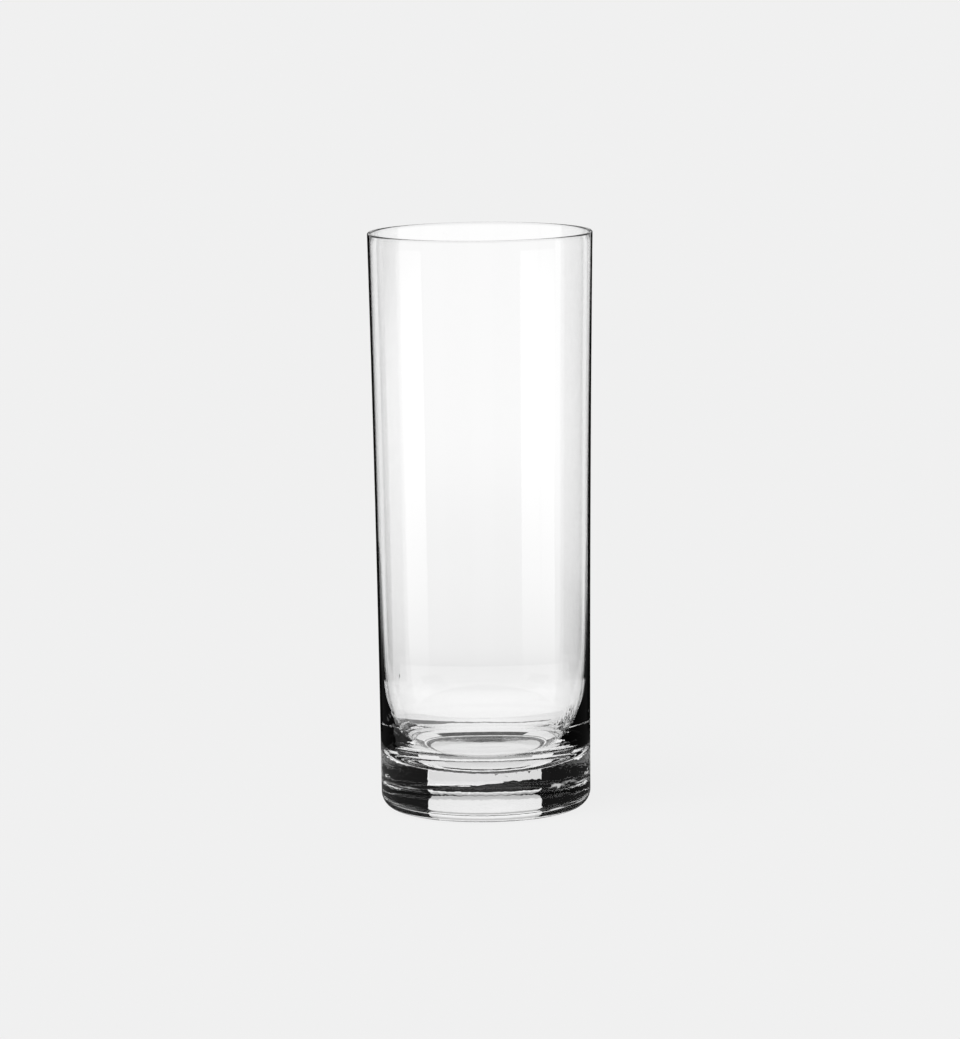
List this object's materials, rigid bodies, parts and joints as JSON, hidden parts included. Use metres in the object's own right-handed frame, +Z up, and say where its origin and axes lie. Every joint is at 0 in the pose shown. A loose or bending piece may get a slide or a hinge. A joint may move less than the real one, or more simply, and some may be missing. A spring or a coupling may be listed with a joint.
{
  "type": "tumbler",
  "caption": "Tall, slightly tapered clear glass tumbler with a thick solid base and a rounded rim, for long drinks.",
  "frame": {"origin": "centre of the foot ring, on the surface that the glass stands on", "axes": "+Z up along the axis of the glass towards the rim; the glass is round, so X and Y are free"},
  "size_m": [0.0618, 0.0618, 0.16],
  "materials": {
    "clear_glass": "clear, colourless, fire-polished"
  },
  "bodies": {
    "root": {"tumbler": "clear_glass"}
  },
  "joints": []
}
